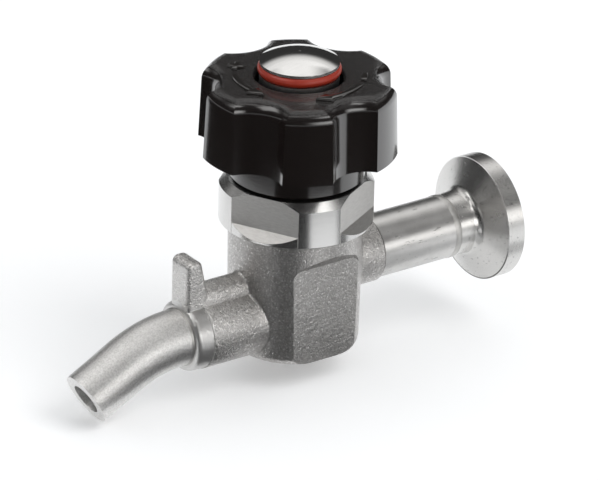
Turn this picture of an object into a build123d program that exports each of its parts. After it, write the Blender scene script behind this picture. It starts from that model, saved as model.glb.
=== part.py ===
from build123d import *
from math import asin, cos, radians, sin, sqrt, tan
import os

# A hand-operated sanitary sampling valve.
#
# Process fluid enters through the clamp ferrule and the inlet tube (+X), rises into
# the chamber under the bonnet, and leaves past the plug, down through the seat and
# along the arm to the bent spout (-X).  The knob turns on the bonnet without
# climbing.  Its drive nut lifts a spindle that a pin keeps from turning, and the
# polished button on the spindle shows a red ring above the knob while the valve is
# open.  Everything is drawn open.
#
# All sizes are millimetres.  Each piece is drawn about the spindle axis (Z), with
# z = 0 on the inlet axis (X).  It is then placed so that the origin is the centre
# of the ferrule's sealing face.

os.makedirs("parts", exist_ok=True)

# Clearances
RUNNING = 0.05            # radial gap of a shaft that turns or slides in a bore
FREE = 0.3                # gap between pieces that pass each other
SEAT_GAP = 0.05           # left between plug seal and seat when fully closed

# Motion
LIFT = 3.0                # travel of the spindle from closed to open

# Clamp ferrule and inlet tube, on the X axis
FERRULE_REACH = 47.0      # spindle axis to sealing face
FERRULE_OD = 25.2
RIM_WIDTH = 3.7
RIM_STEP = 0.1            # the turned cone ends this much below the rim
CONE_LENGTH = 2.8
NECK_FILLET = 1.6
STUB_LENGTH = 11.5        # sealing face to the weld between ferrule and tube
GROOVE_RADIUS = 9.6
GROOVE_ROUND = 1.3
GROOVE_DEPTH = 0.8
TUBE_OD = 12.7
TUBE_WALL = 1.65

# Cast body
BARREL_TOP_R = 13.3
BARREL_BOTTOM_R = 12.9
BARREL_BELOW_ARM = 0.3
BARREL_TOP = 11.05        # height of the face under the bonnet
BARREL_FILLET = 2.0
BOSS_R = 6.75
BOSS_REACH = 17.6
BOSS_EDGE = 0.5
INLET_PORT_R = 3.2
ARM_R = 7.3
ARM_DROP = 7.9            # outlet axis below inlet axis
ARM_REACH = 27.3
ARM_LAND_LENGTH = 3.8     # turned land at the arm's end
ARM_LAND_STEP = 0.2
ARM_LAND_ROUND = 1.1
OUTLET_PORT_R = 3.0
RIB_R = 3.1
RIB_RISE = 7.05            # rib axis above outlet axis
PAD_DISTANCE = 10.7       # flat pad from the spindle axis
PAD_TOP = 5.0
PAD_HALF_WIDTH = 7.9
PAD_CORNER = 2.2
PAD_LEAN = 45.0
CHAMBER_R = 7.0
CHAMBER_HEADROOM = 0.3    # chamber above the inlet port
ROOT_FILLET = 0.6         # cast fillet where arm, rib and boss leave the barrel

# Fin on the arm
FIN_WIDTH = 6.1
FIN_TOP = 8.7
FIN_BASE_LENGTH = 5.4
FIN_TOP_LENGTH = 3.3
FIN_ROOT_RISE = 6.3       # fin's foot above the arm's axis, inside the arm
FIN_TOP_ROUND = 1.4
FIN_SIDE_ROUND = 0.9

# Spout
SPOUT_ROOT_R = 5.75
SPOUT_TIP_R = 5.5
SPOUT_BORE_R = 3.25
SOCKET_DEPTH = 6.0
SPOUT_STRAIGHT = 0.4      # straight stretch outside the arm
BEND_RADIUS = 25.0
BEND_ANGLE = 28.0
TIP_LENGTH = 10.4
SPOUT_SECTIONS = 7

# Bonnet
BONNET_R = 15.2
BONNET_HEIGHT = 9.3
BONNET_CHAMFER = 1.5
BONNET_LIP = 0.3
SPIGOT_R = 9.0
SPIGOT_NOSE_R = 7.5
NOSE_LENGTH = 1.7
FLAT_COUNT = 4
FLAT_APOTHEM = 13.35
FLAT_PHASE = 28.0         # direction of the first wrench flat
FLAT_RISE = 2.5           # bonnet's lower face to where the flats start to run out
NECK_R = 9.6
NECK_LIP = 1.0            # neck above the snap ring
CAVITY_R = 7.6
CAVITY_SILL = 3.3         # cavity floor above the bonnet's upper face
SNAP_GROOVE_DEPTH = 0.7
BUSH_R = 5.0
BUSH_SINK = 7.0           # bush below the bonnet's upper face
BUSH_LENGTH = 6.0
NECK_RING_RISE = 1.6      # drag ring above the cavity floor
NECK_RING_SECTION = 0.75

# Spindle
STEM_R = 3.0
STUD_R = 2.0
STUD_LENGTH = 3.6
HOLDER_R = 4.9
SEAL_R = 4.5
SEAL_THICKNESS = 1.8
SCREW_HEAD_R = 2.0
SCREW_HEAD_HEIGHT = 1.1
SCREW_R = 1.25
SCREW_LENGTH = 6.0
SCREW_SLOT = 0.6
WASHER_R = 2.4
WASHER_THICKNESS = 0.4
STEM_RING_SECTION = 0.85  # radius of the spindle O-rings' section
STEM_RING_RISES = (2.2, 6.1)  # spindle O-rings above the chamber's roof
PIN_R = 1.0
PIN_RISE = 1.4            # pin above the bonnet's upper face
PIN_ENGAGEMENT = 1.1      # how deep the pin reaches into the spindle

# Drive nut, washers and snap ring
THRUST_WASHER = 0.8
THRUST_WASHER_BORE_R = 5.7
NUT_FLANGE = 2.4
NUT_NECK_R = 5.6
NUT_HEX = 9.2             # across flats, where the knob sits
NUT_THREAD_R = 4.4
NUT_THREAD_LENGTH = 2.6
SNAP_THICKNESS = 1.0
SNAP_WIDTH = 1.5
SNAP_OPENING = 50.0
SNAP_EAR_R = 0.9
SNAP_EAR_TURN = 8.0       # degrees from the gap to an ear
SNAP_EAR_HOLE_R = 0.35
LOCK_NUT_HEX = 13.0
LOCK_NUT_HEIGHT = 2.1

# Knob
KNOB_R = 19.65
COLLAR_LENGTH = 5.95
KNOB_HEIGHT = 14.8
KNOB_DRAFT = 2.0
KNOB_BEVEL = 2.7
LOBES = 6
LOBE_PHASE = 1.0
VALLEY_R = 16.45          # from the axis to the floor of each finger valley
SCALLOP_R = 6.7
COLLAR_R = 13.3
COLLAR_CHAMFER = 0.5
WEB = 3.2
BUTTON_BORE_R = 8.5
BORE_CHAMFER = 0.6
POCKET_R = 15.1
POCKET_WIDTH = 2.6
POCKET_ARC = 17.0
POCKET_SKIN = 4.1         # knob's top above the pockets

# Indicator button and its ring
BUTTON_R = 7.8
BUTTON_GAP = 0.5          # over the drive nut when closed
RING_SHOW = 1.45          # ring's centre above the knob while open
RING_SECTION = 1.03
RING_OUTER_R = 8.2
RING_GROOVE = 2.1
BUTTON_EDGE = 0.55
DOME_RISE = 1.9

# Places that follow from the sizes above
TUBE_BORE_R = TUBE_OD / 2 - TUBE_WALL
SEAT_Z = -INLET_PORT_R
CHAMBER_TOP = INLET_PORT_R + CHAMBER_HEADROOM
BARREL_BOTTOM = -ARM_DROP - ARM_R - BARREL_BELOW_ARM
STEM_BORE_R = STEM_R + RUNNING
BONNET_TOP = BARREL_TOP + BONNET_HEIGHT
FLAT_BOTTOM = BARREL_TOP + FLAT_RISE
CAVITY_FLOOR = BONNET_TOP + CAVITY_SILL
BUSH_BOTTOM = BONNET_TOP - BUSH_SINK
NECK_RING_HEIGHT = CAVITY_FLOOR + NECK_RING_RISE
PIN_HEIGHT = BONNET_TOP + PIN_RISE
PLUG_Z = SEAT_Z + LIFT + SEAT_GAP
HOLDER_TOP = CHAMBER_TOP - FREE
COLLAR_BOTTOM = BONNET_TOP + FREE
FLANGE_Z = CAVITY_FLOOR + THRUST_WASHER
UPPER_WASHER_Z = FLANGE_Z + NUT_FLANGE
SNAP_Z = UPPER_WASHER_Z + THRUST_WASHER
SNAP_GROOVE_R = CAVITY_R + SNAP_GROOVE_DEPTH
NECK_TOP = SNAP_Z + SNAP_THICKNESS + NECK_LIP
WEB_Z = NECK_TOP + FREE
WEB_TOP = WEB_Z + WEB
NUT_TOP = WEB_TOP + NUT_THREAD_LENGTH
KNOB_BOTTOM = COLLAR_BOTTOM + COLLAR_LENGTH
KNOB_TOP = KNOB_BOTTOM + KNOB_HEIGHT
POCKET_ROOF = KNOB_TOP - POCKET_SKIN
BUTTON_BOTTOM = NUT_TOP + LIFT + BUTTON_GAP
RING_HEIGHT = KNOB_TOP + RING_SHOW
OVERCUT = 1.0             # how far cutting tools run past a face


def turned(*outline):
    """A solid turned about Z from (radius, height) corners."""
    return revolve(make_face(Plane.XZ * Polyline(*outline, close=True)), Axis.Z)


def tube(outer, inner, low, high):
    return turned((inner, low), (outer, low), (outer, high), (inner, high))


def rod(radius, low, high):
    return Pos(0, 0, low) * Cylinder(radius, high - low, align=(Align.CENTER, Align.CENTER, Align.MIN))


def round_ring(centre_radius, section_radius, height):
    return Pos(0, 0, height) * Torus(centre_radius, section_radius)


def rim_edges(solid, radius, height):
    """The circular edges of this radius that lie at this height about Z."""
    circles = solid.edges().filter_by(GeomType.CIRCLE)
    return circles.filter_by(
        lambda edge: abs(edge.radius - radius) + abs(edge.arc_center.Z - height) < RUNNING
    )


def along_x(solid):
    """Turns a solid drawn about Z so that its heights lie along +X."""
    return Rot(0, 90, 0) * solid


def outlet_axis(solid):
    """Turns a solid drawn about Z so that its heights lie along -X, on the outlet axis."""
    return Pos(0, 0, -ARM_DROP) * Rot(0, -90, 0) * solid


def hexagon(across_flats, low, high):
    corner_radius = across_flats / sqrt(3)
    return Pos(0, 0, low) * extrude(RegularPolygon(corner_radius, 6), high - low)


# Cast body ---------------------------------------------------------------------

def barrel():
    solid = turned(
        (0, BARREL_BOTTOM),
        (BARREL_BOTTOM_R, BARREL_BOTTOM),
        (BARREL_TOP_R, BARREL_TOP),
        (0, BARREL_TOP),
    )
    return fillet(solid.edges().group_by(Axis.Z)[0], BARREL_FILLET)


def arm():
    """The outlet arm, with the land at its end that is turned after casting."""
    land_r = ARM_R - ARM_LAND_STEP
    solid = rod(ARM_R, 0, ARM_REACH - ARM_LAND_LENGTH) + rod(land_r, 0, ARM_REACH)
    return outlet_axis(fillet(rim_edges(solid, land_r, ARM_REACH), ARM_LAND_ROUND))


def rib():
    reach = ARM_REACH - FIN_BASE_LENGTH / 2
    return Pos(0, 0, RIB_RISE) * outlet_axis(rod(RIB_R, 0, reach))


def fin():
    """The upright tab on the rib: flat outside, sloping towards the barrel."""
    outer = -ARM_REACH
    base = RIB_RISE - ARM_DROP
    root = FIN_ROOT_RISE - ARM_DROP
    side = Plane.XZ * Polyline(
        (outer, root),
        (outer + FIN_BASE_LENGTH, root),
        (outer + FIN_BASE_LENGTH, base),
        (outer + FIN_TOP_LENGTH, FIN_TOP),
        (outer, FIN_TOP),
        close=True,
    )
    solid = extrude(make_face(side), FIN_WIDTH / 2, both=True)
    solid = fillet(solid.edges().filter_by(Axis.Y).group_by(Axis.Z)[-1], FIN_TOP_ROUND)
    sides = [edge for edge in solid.edges() if edge.center().Z > root + RUNNING and not edge.is_closed]
    sides = [edge for edge in sides if abs(abs(edge.center().Y) - FIN_WIDTH / 2) < RUNNING]
    return fillet(sides, FIN_SIDE_ROUND)


def boss():
    return along_x(turned(
        (0, 0),
        (BOSS_R, 0),
        (BOSS_R, BOSS_REACH - BOSS_EDGE),
        (BOSS_R - BOSS_EDGE, BOSS_REACH),
        (0, BOSS_REACH),
    ))


def pad_cut():
    """Removes the front of the barrel back to a flat pad with a leaning upper edge."""
    height = PAD_TOP - BARREL_BOTTOM + PAD_CORNER + OVERCUT
    outline = RectangleRounded(2 * PAD_HALF_WIDTH, height, PAD_CORNER)
    plane = Plane((0, -PAD_DISTANCE, PAD_TOP - height / 2), x_dir=(1, 0, 0), z_dir=(0, -1, 0))
    return extrude(plane * outline, BARREL_TOP_R - PAD_DISTANCE + OVERCUT, taper=-PAD_LEAN)


def chamber():
    """Everything bored from above: bonnet seat, chamber and the port under the plug."""
    return turned(
        (0, -ARM_DROP),
        (OUTLET_PORT_R, -ARM_DROP),
        (OUTLET_PORT_R, SEAT_Z),
        (CHAMBER_R, SEAT_Z),
        (CHAMBER_R, CHAMBER_TOP),
        (SPIGOT_R + RUNNING, CHAMBER_TOP),
        (SPIGOT_R + RUNNING, BARREL_TOP + OVERCUT),
        (0, BARREL_TOP + OVERCUT),
    )


def inlet_port():
    """Opens out to the tube's bore at the end of the boss."""
    flare = TUBE_BORE_R - INLET_PORT_R
    return along_x(turned(
        (0, 0),
        (INLET_PORT_R, 0),
        (INLET_PORT_R, BOSS_REACH - 2 * flare),
        (TUBE_BORE_R, BOSS_REACH),
        (TUBE_BORE_R, BOSS_REACH + OVERCUT),
        (0, BOSS_REACH + OVERCUT),
    ))


def outlet_port():
    socket = ARM_REACH - SOCKET_DEPTH
    return outlet_axis(turned(
        (0, 0),
        (OUTLET_PORT_R, 0),
        (OUTLET_PORT_R, socket),
        (SPOUT_ROOT_R + RUNNING, socket),
        (SPOUT_ROOT_R + RUNNING, ARM_REACH + OVERCUT),
        (0, ARM_REACH + OVERCUT),
    ))


def valve_body():
    trunk = barrel() - pad_cut()
    limbs = arm() + rib() + boss()
    casting = trunk + limbs
    roots = new_edges(trunk, limbs, combined=casting)
    casting = fillet(roots, ROOT_FILLET) + fin()
    return casting - chamber() - inlet_port() - outlet_port()


# Inlet line and spout -------------------------------------------------------------

def inlet_tube():
    return along_x(tube(TUBE_OD / 2, TUBE_BORE_R, BOSS_REACH, FERRULE_REACH - STUB_LENGTH))


def clamp_ferrule():
    """Stub, flared back face, rim and the half-round gasket groove."""
    rim_r = FERRULE_OD / 2
    rim_back = FERRULE_REACH - RIM_WIDTH
    cone_root = rim_back - CONE_LENGTH
    solid = turned(
        (TUBE_BORE_R, FERRULE_REACH - STUB_LENGTH),
        (TUBE_OD / 2, FERRULE_REACH - STUB_LENGTH),
        (TUBE_OD / 2, cone_root),
        (rim_r - RIM_STEP, rim_back),
        (rim_r, rim_back),
        (rim_r, FERRULE_REACH),
        (TUBE_BORE_R, FERRULE_REACH),
    )
    solid = fillet(rim_edges(solid, TUBE_OD / 2, cone_root), NECK_FILLET)
    groove = round_ring(GROOVE_RADIUS, GROOVE_ROUND, FERRULE_REACH + GROOVE_ROUND - GROOVE_DEPTH)
    return along_x(solid - groove)


def spout_path():
    """Out of the arm, round the bend and straight to the tip."""
    start = Vector(-(ARM_REACH - SOCKET_DEPTH), -ARM_DROP)
    bend_start = Vector(-(ARM_REACH + SPOUT_STRAIGHT), -ARM_DROP)
    root = Line(start, bend_start)
    bend = JernArc(bend_start, (-1, 0), BEND_RADIUS, BEND_ANGLE)
    tip = Line(bend @ 1, (bend @ 1) + (bend % 1) * TIP_LENGTH)
    return root, bend, tip


def outlet_spout():
    root, bend, tip = spout_path()
    straight = outlet_axis(rod(SPOUT_ROOT_R, ARM_REACH - SOCKET_DEPTH, ARM_REACH + SPOUT_STRAIGHT))
    curved = Plane.XZ * Curve([bend, tip])
    route = Wire(curved.edges())
    sections = []
    for step in range(SPOUT_SECTIONS):
        share = step / (SPOUT_SECTIONS - 1)
        radius = SPOUT_ROOT_R + (SPOUT_TIP_R - SPOUT_ROOT_R) * share
        sections.append((route ^ share) * Circle(radius))
    bore_route = Wire((Plane.XZ * Curve([root, bend, tip])).edges())
    bore = sweep((bore_route ^ 0) * Circle(SPOUT_BORE_R), path=bore_route)
    return straight + loft(sections) - bore


# Bonnet and what it holds -----------------------------------------------------------

def flat_cut():
    """One wrench flat, running out at 45 degrees near the bottom."""
    depth = BONNET_R - FLAT_APOTHEM + OVERCUT
    side = Plane.XZ * Polyline(
        (FLAT_APOTHEM, FLAT_BOTTOM),
        (FLAT_APOTHEM + depth, FLAT_BOTTOM - depth),
        (FLAT_APOTHEM + depth, BONNET_TOP + OVERCUT),
        (FLAT_APOTHEM, BONNET_TOP + OVERCUT),
        close=True,
    )
    return extrude(make_face(side), BONNET_R, both=True)


def bonnet():
    solid = turned(
        (STEM_BORE_R, CHAMBER_TOP),
        (SPIGOT_NOSE_R, CHAMBER_TOP),
        (SPIGOT_NOSE_R, CHAMBER_TOP + NOSE_LENGTH),
        (SPIGOT_R, CHAMBER_TOP + NOSE_LENGTH),
        (SPIGOT_R, BARREL_TOP),
        (BONNET_R - BONNET_LIP, BARREL_TOP),
        (BONNET_R, BARREL_TOP + BONNET_LIP),
        (BONNET_R, BONNET_TOP - BONNET_CHAMFER),
        (BONNET_R - BONNET_CHAMFER, BONNET_TOP),
        (NECK_R, BONNET_TOP),
        (NECK_R, NECK_TOP),
        (CAVITY_R, NECK_TOP),
        (CAVITY_R, SNAP_Z + SNAP_THICKNESS),
        (SNAP_GROOVE_R, SNAP_Z + SNAP_THICKNESS),
        (SNAP_GROOVE_R, SNAP_Z),
        (CAVITY_R, SNAP_Z),
        (CAVITY_R, CAVITY_FLOOR),
        (BUSH_R, CAVITY_FLOOR),
        (BUSH_R, BUSH_BOTTOM),
        (STEM_BORE_R, BUSH_BOTTOM),
    )
    for index in range(FLAT_COUNT):
        solid -= Rot(0, 0, FLAT_PHASE + index * 360 / FLAT_COUNT) * flat_cut()
    gland_r = STEM_BORE_R + 2 * STEM_RING_SECTION
    for rise in STEM_RING_RISES:
        height = CHAMBER_TOP + rise
        solid -= tube(gland_r, STEM_BORE_R - RUNNING, height - STEM_RING_SECTION, height + STEM_RING_SECTION)
    ring_floor = NECK_R + FREE - RUNNING - 2 * NECK_RING_SECTION
    solid -= tube(
        NECK_R + OVERCUT,
        ring_floor,
        NECK_RING_HEIGHT - NECK_RING_SECTION,
        NECK_RING_HEIGHT + NECK_RING_SECTION,
    )
    return solid - pin_hole()


def pin_hole():
    """The cross hole at the back of the neck."""
    return Pos(0, 0, PIN_HEIGHT) * Rot(-90, 0, 0) * rod(PIN_R, STEM_R, NECK_R + OVERCUT)


def anti_rotation_pin():
    return Pos(0, 0, PIN_HEIGHT) * Rot(-90, 0, 0) * rod(PIN_R, STEM_R - PIN_ENGAGEMENT, NECK_R - RUNNING)


def bonnet_oring():
    section = (SPIGOT_R - SPIGOT_NOSE_R) / 2
    return round_ring(SPIGOT_NOSE_R + section, section, CHAMBER_TOP + NOSE_LENGTH / 2)


def stem_oring(rise):
    return round_ring(STEM_BORE_R + STEM_RING_SECTION, STEM_RING_SECTION, CHAMBER_TOP + rise)


def neck_drag_ring():
    """Soft ring that drags lightly on the knob's collar so that the knob stays put."""
    centre = NECK_R + FREE - RUNNING - NECK_RING_SECTION
    return round_ring(centre, NECK_RING_SECTION, NECK_RING_HEIGHT)


def stem_guide_bush():
    return tube(BUSH_R, STEM_BORE_R, BUSH_BOTTOM, BUSH_BOTTOM + BUSH_LENGTH)


def thrust_washer(low):
    return tube(CAVITY_R, THRUST_WASHER_BORE_R, low, low + THRUST_WASHER)


def retaining_ring():
    """Internal snap ring with two ears for the pliers."""
    inner = SNAP_GROOVE_R - SNAP_WIDTH
    solid = tube(SNAP_GROOVE_R, inner, SNAP_Z, SNAP_Z + SNAP_THICKNESS)
    reach = SNAP_GROOVE_R * tan(radians(SNAP_OPENING / 2)) * 2
    gap = make_face(Polyline((0, 0), (2 * SNAP_GROOVE_R, -reach), (2 * SNAP_GROOVE_R, reach), close=True))
    solid -= Pos(0, 0, SNAP_Z) * extrude(gap, SNAP_THICKNESS)
    ear_centre = inner + SNAP_EAR_R - SNAP_EAR_HOLE_R
    ear_turn = SNAP_OPENING / 2 + SNAP_EAR_TURN
    for side in (-1, 1):
        place = Rot(0, 0, side * ear_turn) * Pos(ear_centre, 0, 0)
        solid += place * rod(SNAP_EAR_R, SNAP_Z, SNAP_Z + SNAP_THICKNESS)
        solid -= place * rod(SNAP_EAR_HOLE_R, SNAP_Z, SNAP_Z + SNAP_THICKNESS)
    return solid


# Knob ---------------------------------------------------------------------------

def knob_blank():
    """Round knob with drafted side, rounded upper edge and the collar below."""
    bevel_z = KNOB_TOP - KNOB_BEVEL
    side_top_r = KNOB_R - (bevel_z - KNOB_BOTTOM) * tan(radians(KNOB_DRAFT))
    half = sin(radians(45)) * KNOB_BEVEL
    outline = Curve([
        Polyline(
            (side_top_r - KNOB_BEVEL, KNOB_TOP),
            (0, KNOB_TOP),
            (0, COLLAR_BOTTOM),
            (COLLAR_R - COLLAR_CHAMFER, COLLAR_BOTTOM),
            (COLLAR_R, COLLAR_BOTTOM + COLLAR_CHAMFER),
            (COLLAR_R, KNOB_BOTTOM),
            (KNOB_R, KNOB_BOTTOM),
            (side_top_r, bevel_z),
        ),
        ThreePointArc(
            (side_top_r, bevel_z),
            (side_top_r - KNOB_BEVEL + half, bevel_z + half),
            (side_top_r - KNOB_BEVEL, KNOB_TOP),
        ),
    ])
    return revolve(make_face(Plane.XZ * outline), Axis.Z)


def scallop():
    """Cutter for one finger valley: drafted like the side and flared over the bevel."""
    bevel_z = KNOB_TOP - KNOB_BEVEL
    top_r = SCALLOP_R + (bevel_z - KNOB_BOTTOM) * tan(radians(KNOB_DRAFT))
    half = sin(radians(45)) * KNOB_BEVEL
    outline = Curve([
        Polyline(
            (top_r + KNOB_BEVEL, KNOB_TOP),
            (top_r + KNOB_BEVEL, KNOB_TOP + OVERCUT),
            (0, KNOB_TOP + OVERCUT),
            (0, KNOB_BOTTOM),
            (SCALLOP_R, KNOB_BOTTOM),
            (top_r, bevel_z),
        ),
        ThreePointArc(
            (top_r, bevel_z),
            (top_r + KNOB_BEVEL - half, bevel_z + half),
            (top_r + KNOB_BEVEL, KNOB_TOP),
        ),
    ])
    return Pos(VALLEY_R + SCALLOP_R, 0, 0) * revolve(make_face(Plane.XZ * outline), Axis.Z)


def lobe_pocket():
    """Hollow under one lobe that keeps the moulding's walls even."""
    slot = SlotArc(CenterArc((0, 0), POCKET_R, -POCKET_ARC / 2, POCKET_ARC), POCKET_WIDTH)
    return Pos(0, 0, KNOB_BOTTOM) * extrude(slot, POCKET_ROOF - KNOB_BOTTOM)


def knob():
    solid = knob_blank()
    pitch = 360 / LOBES
    for index in range(LOBES):
        turn = LOBE_PHASE + index * pitch
        solid -= Rot(0, 0, turn + pitch / 2) * scallop()
        solid -= Rot(0, 0, turn) * lobe_pocket()
    solid -= rod(NECK_R + FREE, COLLAR_BOTTOM, WEB_Z)
    solid -= hexagon(NUT_HEX + 2 * RUNNING, WEB_Z, WEB_TOP)
    solid -= rod(BUTTON_BORE_R, WEB_TOP, KNOB_TOP)
    lip = KNOB_TOP - BORE_CHAMFER
    return solid - turned(
        (0, lip),
        (BUTTON_BORE_R, lip),
        (BUTTON_BORE_R + BORE_CHAMFER, KNOB_TOP),
        (0, KNOB_TOP),
    )


def drive_nut():
    """Flange held in the bonnet, hexagon for the knob and thread for its lock nut."""
    solid = rod(CAVITY_R - RUNNING, FLANGE_Z, UPPER_WASHER_Z)
    solid += rod(NUT_NECK_R, UPPER_WASHER_Z, WEB_Z)
    solid += hexagon(NUT_HEX, WEB_Z, WEB_TOP - RUNNING)
    solid += rod(NUT_THREAD_R, WEB_TOP - RUNNING, NUT_TOP)
    return solid - rod(STEM_BORE_R, FLANGE_Z, NUT_TOP)


def knob_lock_nut():
    solid = hexagon(LOCK_NUT_HEX, WEB_TOP, WEB_TOP + LOCK_NUT_HEIGHT)
    corner = LOCK_NUT_HEX / sqrt(3)
    dome = turned(
        (0, WEB_TOP),
        (corner + OVERCUT, WEB_TOP),
        (LOCK_NUT_HEX / 2, WEB_TOP + LOCK_NUT_HEIGHT),
        (0, WEB_TOP + LOCK_NUT_HEIGHT),
    )
    return (solid & dome) - rod(NUT_THREAD_R, WEB_TOP, WEB_TOP + LOCK_NUT_HEIGHT)


# Spindle and what rides on it ---------------------------------------------------------

def stem():
    """Spindle: seal holder below, slot for the pin, stud for the button above."""
    holder_bottom = PLUG_Z + SEAL_THICKNESS
    solid = turned(
        (0, holder_bottom),
        (HOLDER_R, holder_bottom),
        (HOLDER_R, HOLDER_TOP),
        (STEM_R, HOLDER_TOP),
        (STEM_R, BUTTON_BOTTOM),
        (STUD_R, BUTTON_BOTTOM),
        (STUD_R, BUTTON_BOTTOM + STUD_LENGTH),
        (0, BUTTON_BOTTOM + STUD_LENGTH),
    )
    slot_bottom = PIN_HEIGHT - PIN_R - FREE
    slot_top = PIN_HEIGHT + PIN_R + LIFT + FREE
    slot_floor = STEM_R - PIN_ENGAGEMENT - RUNNING
    slot = Pos(0, slot_floor, slot_bottom) * Box(
        2 * (PIN_R + RUNNING),
        STEM_R,
        slot_top - slot_bottom,
        align=(Align.CENTER, Align.MIN, Align.MIN),
    )
    return solid - slot - rod(SCREW_R, holder_bottom, holder_bottom + SCREW_LENGTH)


def plug_seal():
    return tube(SEAL_R, SCREW_R, PLUG_Z, PLUG_Z + SEAL_THICKNESS)


def plug_washer():
    return tube(WASHER_R, SCREW_R, PLUG_Z - WASHER_THICKNESS, PLUG_Z)


def plug_screw():
    """Slotted screw that holds the seal up against the spindle."""
    head_top = PLUG_Z - WASHER_THICKNESS
    head_bottom = head_top - SCREW_HEAD_HEIGHT
    solid = rod(SCREW_HEAD_R, head_bottom, head_top)
    solid += rod(SCREW_R, head_top, PLUG_Z + SEAL_THICKNESS + SCREW_LENGTH)
    slot = Pos(0, 0, head_bottom + SCREW_SLOT / 2) * Box(2 * SCREW_HEAD_R, SCREW_SLOT, SCREW_SLOT)
    return solid - slot


def indicator_button():
    """Flange, groove for the red ring, rim and polished dome."""
    groove_low = RING_HEIGHT - RING_GROOVE / 2
    groove_high = RING_HEIGHT + RING_GROOVE / 2
    groove_r = RING_OUTER_R - RING_GROOVE
    rim_top = groove_high + BUTTON_EDGE
    sphere_r = (BUTTON_R ** 2 + DOME_RISE ** 2) / (2 * DOME_RISE)
    half_angle = asin(BUTTON_R / sphere_r) / 2
    middle = (sphere_r * sin(half_angle), rim_top + DOME_RISE - sphere_r * (1 - cos(half_angle)))
    outline = Curve([
        Polyline(
            (0, rim_top + DOME_RISE),
            (0, BUTTON_BOTTOM),
            (BUTTON_R, BUTTON_BOTTOM),
            (BUTTON_R, groove_low),
            (groove_r, groove_low),
            (groove_r, groove_high),
            (BUTTON_R, groove_high),
            (BUTTON_R, rim_top),
        ),
        ThreePointArc((BUTTON_R, rim_top), middle, (0, rim_top + DOME_RISE)),
    ])
    solid = revolve(make_face(Plane.XZ * outline), Axis.Z)
    return solid - rod(STUD_R, BUTTON_BOTTOM, BUTTON_BOTTOM + STUD_LENGTH)


def indicator_oring():
    return round_ring(RING_OUTER_R - RING_SECTION, RING_SECTION, RING_HEIGHT)


PIECES = {
    "valve_body": valve_body,
    "inlet_tube": inlet_tube,
    "clamp_ferrule": clamp_ferrule,
    "outlet_spout": outlet_spout,
    "bonnet": bonnet,
    "bonnet_oring": bonnet_oring,
    "stem_oring_lower": lambda: stem_oring(STEM_RING_RISES[0]),
    "stem_oring_upper": lambda: stem_oring(STEM_RING_RISES[1]),
    "stem_guide_bush": stem_guide_bush,
    "anti_rotation_pin": anti_rotation_pin,
    "thrust_washer_lower": lambda: thrust_washer(CAVITY_FLOOR),
    "thrust_washer_upper": lambda: thrust_washer(UPPER_WASHER_Z),
    "retaining_ring": retaining_ring,
    "neck_drag_ring": neck_drag_ring,
    "knob": knob,
    "drive_nut": drive_nut,
    "knob_lock_nut": knob_lock_nut,
    "stem": stem,
    "plug_seal": plug_seal,
    "plug_washer": plug_washer,
    "plug_screw": plug_screw,
    "indicator_button": indicator_button,
    "indicator_oring": indicator_oring,
}

for name, make in PIECES.items():
    export_step(Pos(-FERRULE_REACH, 0, 0) * make(), f"parts/{name}.step")
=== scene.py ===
# %% [markdown]
# # Dressing a sanitary sampling valve
# The packed model already has every solid of the valve: a blasted stainless casting, a
# polished tube with its clamp ferrule, a bent spout, a turned bonnet and a black six-lobed
# knob with a steel button in its middle. This lesson gives each of them its real finish,
# adds the small things that a workshop leaves behind, such as weld beads, and lights it
# like an object on a studio table.
# Loading the frame comes first, because every later step reads its sizes from there.

# %% Load the frame
import math

import bmesh
import bpy
from mathutils import Matrix, Quaternion, Vector


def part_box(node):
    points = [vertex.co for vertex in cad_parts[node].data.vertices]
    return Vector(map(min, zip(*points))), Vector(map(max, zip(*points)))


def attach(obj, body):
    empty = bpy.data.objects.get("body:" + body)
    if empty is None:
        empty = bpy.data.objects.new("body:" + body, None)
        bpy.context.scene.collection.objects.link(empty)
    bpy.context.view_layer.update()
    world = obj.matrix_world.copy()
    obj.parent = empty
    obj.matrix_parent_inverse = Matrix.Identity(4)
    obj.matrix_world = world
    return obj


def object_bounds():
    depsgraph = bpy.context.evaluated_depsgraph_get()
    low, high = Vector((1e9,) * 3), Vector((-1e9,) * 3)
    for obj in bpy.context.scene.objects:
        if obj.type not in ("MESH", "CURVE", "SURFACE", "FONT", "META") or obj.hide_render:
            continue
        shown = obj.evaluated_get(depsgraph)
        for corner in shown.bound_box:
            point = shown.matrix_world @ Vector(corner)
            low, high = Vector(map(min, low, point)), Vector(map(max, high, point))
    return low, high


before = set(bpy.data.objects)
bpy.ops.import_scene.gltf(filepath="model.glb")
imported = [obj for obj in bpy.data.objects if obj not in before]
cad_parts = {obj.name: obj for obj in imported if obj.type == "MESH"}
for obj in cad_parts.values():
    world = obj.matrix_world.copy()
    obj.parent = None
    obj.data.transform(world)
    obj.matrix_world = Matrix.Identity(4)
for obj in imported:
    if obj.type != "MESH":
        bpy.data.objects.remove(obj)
cad_low, cad_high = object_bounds()


def spans(low, high):
    """The sizes of a box along X, Y and Z, in millimetres."""
    return [round(1000 * (top - bottom), 2) for bottom, top in zip(low, high)]


print("the solids span", spans(cad_low, cad_high), "mm")

# %% [markdown]
# The origin of the model is the middle of the ferrule's sealing face. The drawing of the
# valve counts from the spindle's axis instead, where the inlet's axis crosses it. Both are
# level with each other, so one shift along X changes between them. Sizes in the lesson are
# in millimetres from the spindle's axis, as on the drawing, and are measured from the
# solids where they can be.

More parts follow.
